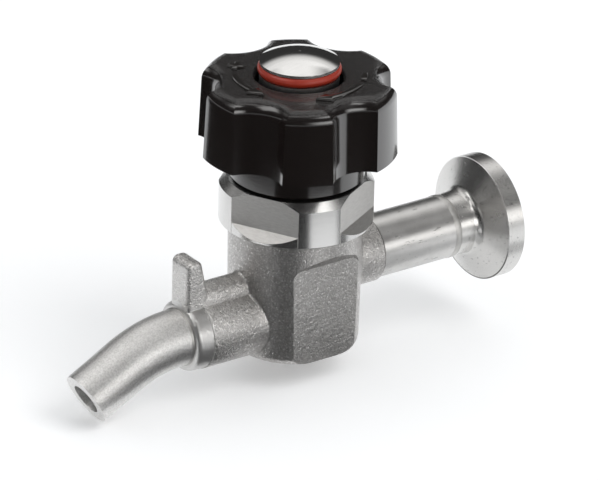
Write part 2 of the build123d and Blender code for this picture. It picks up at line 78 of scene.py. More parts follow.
# %% Where the parts are
MM = 0.001
FERRULE_REACH = 47.0
STUB_LENGTH = 11.5
BARREL_R = 13.1
BONNET_RISE = 18.6
ARM_AXIS = -7.9
LAND_LENGTH = 3.8
LAND_R = 7.1
tube_low, tube_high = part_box("inlet_tube")
TUBE_R = (tube_high.z - tube_low.z) / 2 / MM
KNOB_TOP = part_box("knob")[1].z / MM
BARREL_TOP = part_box("bonnet")[1].z / MM - BONNET_RISE
ARM_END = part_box("valve_body")[0].x / MM + FERRULE_REACH
print("the knob's top is at", round(KNOB_TOP, 2), "and the barrel's at", round(BARREL_TOP, 2))
print("the arm ends at", round(ARM_END, 2))


def on_drawing(x, y, z):
    """A point given from the spindle's axis in millimetres, in the model's metres."""
    return Vector((x - FERRULE_REACH, y, z)) * MM


# %% [markdown]
# Finishes are written as shader maths. One class stands for a wire of the node tree.
# Python's own operators on it add Math nodes, and its method node() adds any other node:
# first its settings, then the values or wires of its sockets. With it a mask reads like a
# formula, and the same few lines serve the materials and the world.

# %% A wire that Python can calculate with
class Wire:
    """One wire of a node tree; sums and products on it add Math nodes."""

    def __init__(self, tree, socket=None):
        self.tree = tree
        self.socket = socket

    def node(self, kind, settings=None, sockets=None, out=0):
        new = self.tree.nodes.new("ShaderNode" + kind)
        for name, value in (settings or {}).items():
            setattr(new, name, value)
        for name, value in (sockets or {}).items():
            if isinstance(value, Wire):
                self.tree.links.new(value.socket, new.inputs[name])
            else:
                new.inputs[name].default_value = value
        return Wire(self.tree, new.outputs[out])

    def maths(self, operation, *others):
        values = dict(enumerate((self, *others)))
        return self.node("Math", {"operation": operation}, values)

    def __add__(self, other):
        return self.maths("ADD", other)

    def __sub__(self, other):
        return self.maths("SUBTRACT", other)

    def __rsub__(self, other):
        return self.maths("MULTIPLY_ADD", -1.0, other)

    def __mul__(self, other):
        return self.maths("MULTIPLY", other)

    def __truediv__(self, other):
        return self.maths("DIVIDE", other)

    def __lt__(self, other):
        return self.maths("LESS_THAN", other)

    def __gt__(self, other):
        return self.maths("GREATER_THAN", other)

    def __abs__(self):
        return self.maths("ABSOLUTE")

    __radd__ = __add__
    __rmul__ = __mul__


print("a wire has the methods", [name for name in vars(Wire) if not name.startswith("__")])

# %% [markdown]
# Nearly every finish starts from a place on the drawing. It comes from Object coordinates,
# which are the same on every piece here, because each piece's object stays at the origin.
# From a place come distances, and a smooth step turns a distance into a soft mask.

# %% Places and masks
def drawing_place(w):
    """The shaded point from the spindle's axis, in millimetres."""
    local = w.node("TexCoord", out="Object")
    sockets = {0: local, 1: (1000, 1000, 1000), 2: (FERRULE_REACH, 0, 0)}
    return w.node("VectorMath", {"operation": "MULTIPLY_ADD"}, sockets)


def coordinates(place):
    return [place.node("SeparateXYZ", sockets={0: place}, out=axis) for axis in range(3)]


def soft_step(value, low, high):
    """0 below low, 1 above high, and a smooth rise between them."""
    settings = {"interpolation_type": "SMOOTHSTEP", "clamp": True}
    return value.node("MapRange", settings, {"Value": value, "From Min": low, "From Max": high})


def distance(first, second):
    """How far a point is from an axis, from its two offsets."""
    return (first * first + second * second).maths("SQRT")


print("on the model the spindle's axis is at x =", -FERRULE_REACH, "mm")

# %% [markdown]
# A grain is Blender's noise, given by the size of its bumps instead of by its scale. Over a
# stretched place it becomes lines. A mix of two colours goes through a Mix node, because a
# Math node would turn it grey.

# %% Grains and mixes
def grain(place, size, detail=3.0, roughness=0.55):
    """Noise from 0 to 1 whose bumps are about size millimetres wide."""
    sockets = {"Vector": place, "Scale": 1 / size, "Detail": detail, "Roughness": roughness}
    return place.node("TexNoise", {"noise_dimensions": "3D"}, sockets)


def stretched(place, x, y, z):
    return place.node("VectorMath", {"operation": "MULTIPLY"}, {0: place, 1: (x, y, z)})


def mixed(share, first, second):
    """first where share is 0, second where it is 1."""
    sockets = {0: share, 6: opaque(first), 7: opaque(second)}
    return share.node("Mix", {"data_type": "RGBA"}, sockets, out=2)


def opaque(colour):
    return (*colour, 1.0) if isinstance(colour, tuple) else colour


print("a colour such as white is set as", opaque((1.0, 1.0, 1.0)))

# %% [markdown]
# A finish is a Principled surface. Its colour, roughness and height may vary from place to
# place; everything else is one number for the whole surface and is set on the shader's own
# socket. Height is in millimetres: a Bump node leans the surface as if the relief were
# there, which suits relief far smaller than anything worth modelling.

# %% One surface from its colour, roughness and relief
def finish(name, recipe, **fixed):
    """A material; recipe(w) gives the wires or values of colour, roughness and height."""
    material = bpy.data.materials.new(name)
    material.use_nodes = True
    tree = material.node_tree
    shader = tree.nodes["Principled BSDF"]
    colour, roughness, height = recipe(Wire(tree))
    for socket, value in (("Base Color", colour), ("Roughness", roughness)):
        if isinstance(value, Wire):
            tree.links.new(value.socket, shader.inputs[socket])
        else:
            shader.inputs[socket].default_value = opaque(value)
    bump = height.node("Bump", sockets={"Height": height, "Distance": MM, "Strength": 1.0})
    tree.links.new(bump.socket, shader.inputs["Normal"])
    for socket, value in fixed.items():
        shader.inputs[socket.replace("_", " ")].default_value = value
    return material


def dress(node, material):
    """Puts a material on every slot of a solid of the frame."""
    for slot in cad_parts[node].material_slots:
        slot.material = material
    print(node, "is finished in", material.name)


print("there are", len(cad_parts), "solids to finish")

# %% [markdown]
# The body is an investment casting that was blasted with grit. The grit's own dimples are
# four tenths of a millimetre wide. Wider and softer ones lie under them, and then comes a
# gentle waviness that the wax and the shell left. There are a few pits, and a faint seam.
# The arm and the boss are coarser than the barrel between them. The arm's end was turned
# on a lathe for the spout's weld, so there the grain stops and fine lines run round, and
# the seat for the bonnet on top was turned too. Beside the weld the top of the arm gets a
# painted highlight, and bright flakes of grit get painted glints in the colour. Masks from
# the drawing's sizes separate the places.

# %% The blasted casting
def cast_recipe(w):
    place = drawing_place(w)
    x, y, z = coordinates(place)
    grit = grain(place, 0.42, 3.0, 0.6)
    dimples = grain(place, 0.80, 2.0, 0.5)
    waves = grain(place, 4.5, 2.0, 0.5)
    cells = place.node("TexVoronoi", {"feature": "F1"}, {"Vector": place, "Scale": 0.34})
    pits = 1 - soft_step(cells, 0.03, 0.11)
    seam = 1 - soft_step(abs(y + waves * 0.5 - 0.25), 0.05, 0.22)
    glints = soft_step(grain(place, 0.36, 2.0, 0.7), 0.55, 0.65)

    land_edge = ARM_END + LAND_LENGTH
    from_arm = distance(y, z - ARM_AXIS)
    ragged = x + dimples * 0.9 + waves * 1.2 - 1.0
    before_edge = 1 - soft_step(ragged, land_edge - 0.2, land_edge + 0.7)
    on_land = before_edge * (from_arm < LAND_R + 0.4)
    on_step = (abs(x - land_edge) < 0.05) * (from_arm > LAND_R - 0.05)
    turned = on_land.maths("MAXIMUM", z > BARREL_TOP - 0.03)
    sand = 1 - turned
    off_barrel = soft_step(abs(x + waves * 2.0 - 1.0), BARREL_R - 0.5, BARREL_R + 1.5)
    coarse = 0.70 + off_barrel * 0.35
    # A painted highlight: the top of the arm near the weld is lightened where light falls on it.
    near_weld = 1 - soft_step(x, ARM_END + 2.0, ARM_END + 15.0)
    painted_arm_highlight = near_weld * soft_step(z + waves, ARM_AXIS, ARM_AXIS + 5.0)

    lines = grain(stretched(place, 6.0, 0.4, 0.4), 1.0, 2.0)
    bumps = grit * 0.20 + dimples * 0.12 + waves * 0.08 - pits * 0.05 + seam * 0.03
    height = sand * coarse * bumps + turned * (lines * 0.006 + dimples * 0.04 + grit * 0.05)
    rough = 0.32 + grit * 0.10 + waves * 0.06 - coarse * (0.09 + glints * 0.09)
    roughness = rough * sand + turned * 0.40 + on_step * 0.3
    shade = soft_step(grit * 0.6 + dimples * 0.4, 0.30, 0.70)
    blasted = mixed(shade, (0.43, 0.418, 0.408), (0.61, 0.595, 0.582))
    # The colour gets painted glints on bright grit flakes, and the painted highlight on the arm's
    # top.
    blasted = mixed(glints.maths("MAXIMUM", painted_arm_highlight * 0.90), blasted, (0.86, 0.845, 0.83))
    return mixed(turned, blasted, (0.72, 0.714, 0.704)), roughness, height


cast_steel = finish("cast_steel", cast_recipe, Metallic=1.0)
dress("valve_body", cast_steel)

# %% [markdown]
# The inlet's tube is drawn, then polished with a belt that goes round it. The belt leaves
# very fine scratches across the tube's length and slightly duller clouds. Handling adds a
# few short marks. The spout had the same treatment after it was bent.

# %% The polished tubes
def polished_tube_recipe(w):
    place = drawing_place(w)
    belt = grain(stretched(place, 7.0, 0.7, 0.7), 1.0, 3.0, 0.6)
    clouds = grain(place, 3.2, 3.0, 0.6)
    fine = grain(place, 0.30, 2.0, 0.5)
    marks = soft_step(grain(stretched(place, 0.5, 2.2, 2.2), 1.6, 4.0, 0.7), 0.61, 0.68)
    height = belt * 0.0035 + fine * 0.006 + clouds * 0.02 - marks * 0.008
    roughness = 0.22 + clouds * 0.14 + fine * 0.05 + marks * 0.10
    colour = mixed(clouds, (0.55, 0.543, 0.53), (0.79, 0.782, 0.77))
    colour = mixed(marks * 0.7, colour, (0.26, 0.255, 0.25))
    return colour, roughness, height


polished_tube = finish("polished_tube", polished_tube_recipe, Metallic=1.0)
dress("inlet_tube", polished_tube)


def spout_recipe(w):
    place = drawing_place(w)
    clouds = grain(place, 2.6, 3.0, 0.6)
    fine = grain(place, 0.36, 3.0, 0.65)
    height = fine * 0.10 + clouds * 0.03
    roughness = 0.28 + clouds * 0.10 + fine * 0.08
    colour = mixed(soft_step(fine, 0.34, 0.66), (0.70, 0.692, 0.68), (0.90, 0.892, 0.88))
    return colour, roughness, height


polished_spout = finish("polished_spout", spout_recipe, Metallic=1.0)
dress("outlet_spout", polished_spout)

# %% [markdown]
# The ferrule is turned all over: its lines run round the inlet's axis. On a cone or a face
# such a line is a circle, so the pattern's coordinates are the distance along the axis and
# the distance from it, and nothing depends on the angle except a slight cloudiness.
# The small shoulder where the cone meets the rim gets a painted highlight above it and a
# painted shadow line below it.

# %% The turned ferrule
RIM_THICKNESS = 3.7
RIM_BACK = FERRULE_REACH - RIM_THICKNESS
ferrule_low, ferrule_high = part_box("clamp_ferrule")
RIM_R = (ferrule_high.z - ferrule_low.z) / 2 / MM


def lathe_lines(first, second):
    """Fine lines of turning; the arguments are a distance along an axis and one from it."""
    return grain(first.node("CombineXYZ", sockets={0: first, 1: second, 2: 0.0}), 1.0, 3.0, 0.6)


def ferrule_recipe(w):
    place = drawing_place(w)
    x, y, z = coordinates(place)
    lines = lathe_lines(x * 3.0, distance(y, z) * 3.0)
    clouds = grain(place, 2.8, 3.0, 0.6)
    fine = grain(place, 0.3, 2.0, 0.5)
    height = lines * 0.0008 + fine * 0.003
    roughness = 0.20 + lines * 0.04 + clouds * 0.08
    bright = mixed(lines, (0.63, 0.622, 0.608), (0.72, 0.712, 0.698))
    # A painted highlight above the rim's shoulder and a painted shadow line below it.
    at_shoulder = (abs(x - RIM_BACK) < 0.08) * (distance(y, z) > RIM_R - 0.25)
    specks = soft_step(grain(place, 0.8, 2.0, 0.6), 0.64, 0.69)
    bright = mixed(specks, bright, (0.38, 0.375, 0.37))
    painted_shoulder_light_and_shadow = mixed(soft_step(z, -5.0, 1.0), (0.14, 0.136, 0.132), (0.90, 0.89, 0.88))
    return mixed(at_shoulder, bright, painted_shoulder_light_and_shadow), roughness, height


turned_ferrule = finish("turned_ferrule", ferrule_recipe, Metallic=1.0)
dress("clamp_ferrule", turned_ferrule)

# %% [markdown]
# The bonnet is turned bright, and then four flats are milled into it for a spanner. A
# milled flat is much duller than the turned band beside it, and it has the straight, faint
# tracks of the cutter. A flat is where the distance along its own direction is the flats'
# half width, so four such distances find all four. The floor that slopes out below
# each flat is where that distance and the height add up to one number.

# %% The turned and milled bonnet
FLAT_HALF_WIDTH = 13.35
FLAT_TURN = math.radians(28)
FLAT_FLOOR = BARREL_TOP + 2.5
CHAMFER_START = BARREL_TOP + 7.8


def bonnet_recipe(w):
    place = drawing_place(w)
    x, y, z = coordinates(place)
    milled = x * 0.0
    for quarter in range(4):
        angle = FLAT_TURN + quarter * math.pi / 2
        along = x * math.cos(angle) + y * math.sin(angle) - FLAT_HALF_WIDTH
        on_flat = abs(along) < 0.04
        on_floor = (abs(along + z - FLAT_FLOOR) < 0.04) * (along > 0.0)
        milled = milled.maths("MAXIMUM", on_flat.maths("MAXIMUM", on_floor))
    lines = lathe_lines(distance(x, y) * 4.0, z * 4.0)
    tracks = grain(stretched(place, 0.8, 0.8, 3.6), 1.0, 4.0, 0.65)
    fine = grain(place, 0.35, 3.0, 0.6)
    turned_relief = lines * 0.003 + fine * 0.004
    milled_relief = tracks * 0.036 + fine * 0.036
    height = (1 - milled) * turned_relief + milled * milled_relief
    on_chamfer = soft_step(z, CHAMFER_START - 0.2, CHAMFER_START + 0.2) * (1 - milled)
    roughness = 0.18 + lines * 0.06 + on_chamfer * 0.04 + milled * (0.19 + fine * 0.12)
    bright = mixed(lines, (0.68, 0.675, 0.665), (0.74, 0.735, 0.725))
    dull = mixed(tracks, (0.50, 0.49, 0.477), (0.76, 0.75, 0.732))
    return mixed(milled, bright, dull), roughness, height


turned_bonnet = finish("turned_bonnet", bonnet_recipe, Metallic=1.0)
dress("bonnet", turned_bonnet)

# %% [markdown]
# The knob is moulded in black nylon. Its sides are glossy, with the faint waviness that a
# thick moulding gets as it shrinks. Its top was spark-eroded in the mould and has a fine
# leathery grain, which stops where the rounded edge begins, so the edge shines again.

# %% The black knob
def knob_recipe(w):
    place = drawing_place(w)
    x, y, z = coordinates(place)
    on_top = soft_step(z, KNOB_TOP - 0.7, KNOB_TOP - 0.15)
    leather = grain(place, 0.70, 4.0, 0.65)
    fine = grain(place, 0.22, 2.0, 0.5)
    sink = grain(place, 7.0, 1.0, 0.4)
    specks = soft_step(grain(place, 0.7, 2.0, 0.5), 0.74, 0.79)
    height = on_top * (leather * 0.75 + fine * 0.05) + (1 - on_top) * fine * 0.008 + sink * 0.04
    roughness = 0.12 + on_top * 0.05 + fine * 0.05 + sink * 0.03
    colour = mixed(specks, (0.0072, 0.0050, 0.0044), (0.026, 0.022, 0.020))
    return colour, roughness, height


GLOSSY_NYLON = {"Specular_IOR_Level": 1.0, "Coat_Weight": 0.6}
black_nylon = finish("black_nylon", knob_recipe, Coat_Roughness=0.09, **GLOSSY_NYLON)
dress("knob", black_nylon)

# %% [markdown]
# The red ring tells from afar that the valve is open. It is silicone, moulded in halves,
# so it has a hair-thin line round its outside, and a waxy gloss. The black rings inside
# the valve are the same kind of part in a harder rubber, which is duller.

# %% The rubber rings
RED_RING_MIDDLE = sum(corner.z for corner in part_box("indicator_oring")) / 2 / MM


def red_ring_recipe(w):
    place = drawing_place(w)
    z = coordinates(place)[2]
    line = 1 - soft_step(abs(z - RED_RING_MIDDLE), 0.02, 0.07)
    bloom = grain(place, 1.6, 3.0, 0.6)
    fine = grain(place, 0.25, 2.0, 0.5)
    height = line * 0.012 + fine * 0.006 + bloom * 0.02
    roughness = 0.26 + bloom * 0.16 + fine * 0.06
    colour = mixed(bloom, (0.27, 0.020, 0.008), (0.39, 0.034, 0.014))
    return colour, roughness, height


red_silicone = finish("red_silicone", red_ring_recipe, Coat_Weight=0.15, Coat_Roughness=0.12)
dress("indicator_oring", red_silicone)


def black_ring_recipe(w):
    place = drawing_place(w)
    fine = grain(place, 0.25, 3.0, 0.6)
    bloom = grain(place, 2.0, 2.0, 0.5)
    colour = mixed(bloom, (0.012, 0.012, 0.012), (0.028, 0.027, 0.026))
    return colour, 0.42 + bloom * 0.14, fine * 0.010


black_rubber = finish("black_rubber", black_ring_recipe)
for ring in ("bonnet_oring", "stem_oring_lower", "stem_oring_upper", "neck_drag_ring"):
    dress(ring, black_rubber)

# %% [markdown]
# The button on the spindle's end is the one mirror of the valve. It was turned to a shallow
# dome and buffed, so it keeps a trace of the lathe's circles, a dot in the middle where
# the tool ran out, and a slightly duller groove wall under its rim.

# %% The mirror-bright button
BUTTON_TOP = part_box("indicator_button")[1].z / MM


def button_recipe(w):
    place = drawing_place(w)
    x, y, z = coordinates(place)
    radius = distance(x, y)
    circles = lathe_lines(radius * 5.0, z * 2.0)
    buffed = grain(stretched(place, 1.0, 4.0, 1.0), 1.6, 3.0, 0.6)
    middle = 1 - soft_step(radius, 0.12, 0.30)
    on_dome = soft_step(z, BUTTON_TOP - 2.1, BUTTON_TOP - 1.9)
    height = circles * 0.0012 + buffed * 0.0030 - middle * 0.02
    roughness = 0.03 + circles * 0.02 + buffed * 0.04 + (1 - on_dome) * 0.24
    colour = mixed(buffed, (0.74, 0.735, 0.725), (0.82, 0.815, 0.805))
    return colour, roughness, height


mirror_steel = finish("mirror_steel", button_recipe, Metallic=1.0)
dress("indicator_button", mirror_steel)

# %% [markdown]
# The working parts inside have plain engineering finishes: a turned spindle, a bronze nut
# that takes the wear of its thread, white bearing rings and seal, and a dark spring ring.
# They show only from below or when the valve is taken apart, but each is still a finished
# surface. One recipe maker serves them all: lines round the spindle's axis, plus clouds.

# %% The working parts
def turned_recipe(dark, pale, roughness):
    """A recipe for a part turned about the spindle's axis, between two colours."""

    def recipe(w):
        place = drawing_place(w)
        x, y, z = coordinates(place)
        lines = lathe_lines(distance(x, y) * 4.0, z * 4.0)
        clouds = grain(place, 1.8, 3.0, 0.6)
        colour = mixed(clouds, dark, pale)
        return colour, roughness + lines * 0.08 + clouds * 0.08, lines * 0.005

    return recipe


# Each finish: its darker and its paler colour, its least roughness, and if it is metal.
TURNED_FINISHES = {
    "turned_steel": ((0.60, 0.592, 0.58), (0.72, 0.715, 0.70), 0.16, 1.0),
    "bearing_bronze": ((0.46, 0.29, 0.13), (0.62, 0.42, 0.20), 0.22, 1.0),
    "spring_steel": ((0.10, 0.10, 0.105), (0.17, 0.17, 0.175), 0.34, 1.0),
    "white_bearing": ((0.80, 0.79, 0.76), (0.88, 0.87, 0.845), 0.40, 0.0),
}
WORKING_PARTS = {
    "turned_steel": ("stem", "plug_washer", "plug_screw", "anti_rotation_pin", "knob_lock_nut"),
    "bearing_bronze": ("drive_nut",),
    "spring_steel": ("retaining_ring",),
    "white_bearing": ("stem_guide_bush", "thrust_washer_lower", "thrust_washer_upper", "plug_seal"),
}
for name, (dark, pale, roughness, metallic) in TURNED_FINISHES.items():
    turned_material = finish(name, turned_recipe(dark, pale, roughness), Metallic=metallic)
    for part in WORKING_PARTS[name]:
        dress(part, turned_material)

# %% [markdown]
# New pieces are small here, and all of them are made with mesh operators. A closed shell
# is what a printer or another program expects, so one helper ends every piece: it turns
# the faces outwards, counts the open edges, and puts the mesh on a body of the frame.

# %% Ending a piece
SHARP_FROM = math.radians(35)


def finished_piece(name, shape, body, material):
    """The object of a finished bmesh, riding on a body."""
    bmesh.ops.recalc_face_normals(shape, faces=shape.faces)
    open_edges = sum(not edge.is_manifold for edge in shape.edges)
    mesh = bpy.data.meshes.new(name)
    shape.to_mesh(mesh)
    shape.free()
    mesh.shade_smooth()
    mesh.set_sharp_from_angle(angle=SHARP_FROM)
    piece = bpy.data.objects.new(name, mesh)
    bpy.context.scene.collection.objects.link(piece)
    mesh.materials.append(material)
    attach(piece, body)
    print(name, "has", len(mesh.polygons), "faces and", open_edges, "open edges")
    return piece


print("edges stay sharp from", round(math.degrees(SHARP_FROM)), "degrees")

# %% [markdown]
# The tube is welded to the ferrule's stub without filler, so its bead is a flat band, a
# tenth of a millimetre proud, with the scale-like ripples of a pulsed arc. The spout is
# welded into the arm's turned end with a narrower one. Both beads are one oval section
# spun round an axis. The ripples are relief in the finish, since each is only about a
# hundredth of a millimetre high.

# %% The weld beads
RIPPLES_ROUND = 30.0
BEAD_STEPS = 96
SPOUT_WELD_R = 5.72


def bead_recipe(w):
    place = drawing_place(w)
    x, y, z = coordinates(place)
    ripples = (z.maths("ARCTAN2", y) * RIPPLES_ROUND + x * 1.6).maths("SINE")
    clouds = grain(place, 1.1, 3.0, 0.6)
    height = ripples * 0.007 + clouds * 0.02
    colour = mixed(clouds, (0.54, 0.53, 0.51), (0.69, 0.682, 0.668))
    return colour, 0.38 + clouds * 0.12, height


weld_bead = finish("weld_bead", bead_recipe, Metallic=1.0)


def bead(name, x, axis_z, radius, half_width, half_height):
    """A weld bead round an axis along X, with an oval section."""
    shape = bmesh.new()
    section = bmesh.ops.create_circle(shape, segments=14, radius=1.0)["verts"]
    bmesh.ops.scale(shape, vec=(half_width * MM, half_height * MM, 1.0), verts=section)
    bmesh.ops.translate(shape, vec=on_drawing(x, radius, axis_z), verts=section)
    bmesh.ops.spin(
        shape,
        geom=section + shape.edges[:],
        cent=on_drawing(x, 0, axis_z),
        axis=(1, 0, 0),
        angle=2 * math.pi,
        steps=BEAD_STEPS,
        use_merge=True,
        use_duplicate=False,
    )
    return finished_piece(name, shape, "valve", weld_bead)


bead(
    "ferrule_weld",
    x=FERRULE_REACH - STUB_LENGTH,
    axis_z=0.0,
    radius=TUBE_R - 0.10,
    half_width=0.85,
    half_height=0.20,
)
bead(
    "spout_weld",
    x=ARM_END - 0.02,
    axis_z=ARM_AXIS,
    radius=SPOUT_WELD_R,
    half_width=0.50,
    half_height=0.14,
)

# %% [markdown]
# Raised marks on the knob's top show which way opens the valve: a curved arrow with a plus
# for more flow, and one with a minus for less. An arrow could be cut from a flat curve, but
# a short radial edge that is spun about the spindle's axis follows the knob exactly. The
# strip's last edge is widened for the barbs and then drawn to a point.

# %% A curved arrow
MARK_CIRCLE = 12.6
ARROW_WIDTH = 1.15
BARB_TURN, BARB_WIDENING = 1.5, 2.9
POINT_TURN, POINT_NARROWING = 13, 0.001
SPINDLE = on_drawing(0, 0, 0)


def turned_by(degrees):
    return Matrix.Rotation(math.radians(degrees), 3, "Z")


def only(kind, items):
    return [item for item in items if isinstance(item, kind)]


def curved_arrow(shape, start, sweep):
    """A flat arrow round the spindle's axis, from one angle through a sweep, in degrees."""
    direction = turned_by(start) @ Vector((1, 0, 0))
    level = SPINDLE + Vector((0, 0, KNOB_TOP * MM))
    reaches = [(MARK_CIRCLE + side * ARROW_WIDTH / 2) * MM for side in (-1, 1)]
    ends = [shape.verts.new(level + direction * reach) for reach in reaches]
    arc = bmesh.ops.spin(
        shape,
        geom=ends + [shape.edges.new(ends)],
        cent=SPINDLE,
        axis=(0, 0, 1),
        angle=math.radians(sweep),
        steps=18,
        use_merge=False,
        use_duplicate=False,
    )
    last = only(bmesh.types.BMEdge, arc["geom_last"])[0]
    for turn, widening in ((BARB_TURN, BARB_WIDENING), (POINT_TURN, POINT_NARROWING)):
        pulled = bmesh.ops.extrude_edge_only(shape, edges=[last])["geom"]
        verts = only(bmesh.types.BMVert, pulled)
        last = only(bmesh.types.BMEdge, pulled)[0]
        onwards = turned_by(math.copysign(turn, sweep))
        bmesh.ops.rotate(shape, cent=SPINDLE, matrix=onwards, verts=verts)
        middle = (verts[0].co + verts[1].co) / 2
        about_middle = Matrix.Translation(-middle)
        bmesh.ops.scale(shape, vec=(widening,) * 3, space=about_middle, verts=verts)
    bmesh.ops.pointmerge(shape, verts=verts, merge_co=middle)


print("the arrows run", MARK_CIRCLE, "mm from the spindle's axis")

# %% [markdown]
# A sign starts as one square. Pulling out two opposite sides makes a minus, and pulling out
# all four makes a plus, so one function serves for both.

# %% A plus or a minus
SIGN_LENGTH = 3.2
SIGN_WIDTH = 1.1


def sign(shape, angle, is_plus):
    """A plus, or else a minus, lying flat at an angle round the knob."""
    half = SIGN_WIDTH / 2 * MM
    block = bmesh.ops.create_grid(shape, x_segments=1, y_segments=1, size=half)["verts"]
    reach = (SIGN_LENGTH - SIGN_WIDTH) / 2 * MM
    for side in list(block[0].link_faces[0].edges):
        outward = (side.verts[0].co + side.verts[1].co) / 2
        if is_plus or abs(outward.x) > abs(outward.y):
            pulled = bmesh.ops.extrude_edge_only(shape, edges=[side])["geom"]
            verts = only(bmesh.types.BMVert, pulled)
            bmesh.ops.translate(shape, vec=outward.normalized() * reach, verts=verts)
            block += verts
    bmesh.ops.rotate(shape, cent=(0, 0, 0), matrix=turned_by(angle - 90), verts=block)
    offset = turned_by(angle) @ Vector((MARK_CIRCLE * MM, 0, KNOB_TOP * MM))
    bmesh.ops.translate(shape, vec=SPINDLE + offset, verts=block)


print("signs are", SIGN_LENGTH, "mm long")

# %% [markdown]
# Each arrow is made solid together with its sign, and stands a little deeper in the knob
# than its top face, so that no gap can show. The upper edges are rounded, as a mould's
# engraving leaves them. The mould is polished inside a mark, so the marks shine out of the
# grained top around them.

# %% The two marks on the knob
MARK_HEIGHT = 0.55
MARK_SINK = 0.25
MARK_ROUNDING = 0.16
SHARP_ANGLE = 1.0


def mark_recipe(w):
    place = drawing_place(w)
    fine = grain(place, 0.3, 2.0, 0.5)
    colour = mixed(fine, (0.010, 0.008, 0.007), (0.018, 0.015, 0.013))
    return colour, 0.10 + fine * 0.08, fine * 0.006


polished_nylon = finish("polished_nylon", mark_recipe, **GLOSSY_NYLON)


def turn_mark(name, start, sweep, sign_angle, is_plus):
    """An arrow and its sign as one piece that turns with the knob."""
    shape = bmesh.new()
    curved_arrow(shape, start, sweep)
    sign(shape, sign_angle, is_plus)
    raised = bmesh.ops.extrude_face_region(shape, geom=shape.faces[:])["geom"]
    top = only(bmesh.types.BMVert, raised)
    bmesh.ops.translate(shape, vec=(0, 0, MARK_HEIGHT * MM), verts=top)
    sunk = [vert for vert in shape.verts if vert not in set(top)]
    bmesh.ops.translate(shape, vec=(0, 0, -MARK_SINK * MM), verts=sunk)
    bmesh.ops.remove_doubles(shape, verts=shape.verts, dist=1e-6)
    closed = [edge for edge in shape.edges if edge.is_manifold]
    sharp = [edge for edge in closed if edge.calc_face_angle() > SHARP_ANGLE]
    rim = [edge for edge in sharp if min(vert.co.z for vert in edge.verts) > KNOB_TOP * MM]
    bmesh.ops.bevel(
        shape,
        geom=rim,
        affect="EDGES",
        offset=MARK_ROUNDING * MM,
        segments=2,
        profile=0.5,
        material=-1,
        clamp_overlap=True,
    )
    return finished_piece(name, shape, "hand_knob", polished_nylon)


turn_mark("open_mark", 150, 38, 132, True)
turn_mark("close_mark", 302, -38, 320, False)

# %% [markdown]
# The camera looks from above the left front, rolled a little. It looks down its own minus
# Z axis, so its Z axis is pointed from the object to the camera, and the roll turns it
# about that axis. A long lens far away keeps the lines of the object almost parallel.

# %% The camera
AZIMUTH = math.radians(-35.57)
ELEVATION = math.radians(25.47)
ROLL = math.radians(1.50)
AIM = Vector((-44.86, 1.34, 4.91)) * MM
CAMERA_DISTANCE = 1.2
towards_camera = Vector(
    (
        math.sin(AZIMUTH) * math.cos(ELEVATION),
        -math.cos(AZIMUTH) * math.cos(ELEVATION),
        math.sin(ELEVATION),
    )
)
camera_data = bpy.data.cameras.new("studio_camera")
camera_data.sensor_width = 36.0
camera_data.lens = 367.2
camera_data.clip_start = 0.05
camera_data.clip_end = 20.0
camera = bpy.data.objects.new("studio_camera", camera_data)
bpy.context.scene.collection.objects.link(camera)
camera.rotation_mode = "QUATERNION"
camera.rotation_quaternion = towards_camera.to_track_quat("Z", "Y") @ Quaternion((0, 0, 1), ROLL)
camera.location = AIM + towards_camera * CAMERA_DISTANCE
bpy.context.scene.camera = camera
print("camera at", [round(value, 3) for value in camera.location])

# %% [markdown]
# Polished metal has no colour of its own: it shows the room. A product studio gives it
# something to show, which is a dark room with a few soft boxes. A soft box here is a bright
# rectangle in some direction. Its mask compares the ray's direction with the box's own
# right and up directions, and fades over a soft edge.

# %% A soft box
def soft_box(ray, azimuth, elevation, width, height, edge):
    """1 where a ray meets a soft box; angles in degrees, edge is its softness."""
    a, e = math.radians(azimuth), math.radians(elevation)
    ahead = (math.cos(a) * math.cos(e), math.sin(a) * math.cos(e), math.sin(e))
    right = (-math.sin(a), math.cos(a), 0.0)
    up = (-math.cos(a) * math.sin(e), -math.sin(a) * math.sin(e), math.cos(e))
    depth, across, above = [
        ray.node("VectorMath", {"operation": "DOT_PRODUCT"}, {0: ray, 1: axis}, out="Value")
        for axis in (ahead, right, up)
    ]
    safe = depth.maths("MAXIMUM", 0.05)
    sideways = abs(across / safe) / math.tan(math.radians(width / 2))
    upwards = abs(above / safe) / math.tan(math.radians(height / 2))
    outside = sideways.maths("MAXIMUM", upwards)
    return (1 - soft_step(outside, 1 - edge, 1 + edge)) * (depth > 0.05)


# Each box: azimuth, elevation, width, height, softness of its edge, and brightness.
SOFT_BOXES = {
    "low in front, for the bands along the tubes": (-80, 13, 52, 19, 0.50, 2.6),
    "high in front, for the knob's edge": (-72, 57, 24, 10, 0.55, 2.2),
    "faint fill on the right": (-44, 46, 50, 38, 0.60, 0.18),
    "straight above the front": (-116, 77, 30, 10, 0.50, 2.4),
    "left": (168, 48, 44, 28, 0.45, 2.0),
    "overhead, for the dome": (60, 66, 44, 30, 0.60, 0.9),
    "pale ceiling at the back": (80, 62, 130, 46, 0.35, 0.10),
    "strip at the back, for the knob's grain": (56, 44, 90, 16, 0.90, 0.7),
}
ROOM_GLOW = 0.035
CEILING_GLOW = 0.05
print(len(SOFT_BOXES), "soft boxes in a room that glows with", ROOM_GLOW)

# %% [markdown]
# The world is this room for mirror-like rays only. For matt surfaces it is an even pale
# light, so that a colour comes out as it is written, and for the camera it is plain white.

# %% The studio round the object
world = bpy.data.worlds.new("studio")
bpy.context.scene.world = world
world.use_nodes = True
room = Wire(world.node_tree)


def light(colour, strength):
    return room.node("Background", sockets={"Color": opaque(colour), "Strength": strength})


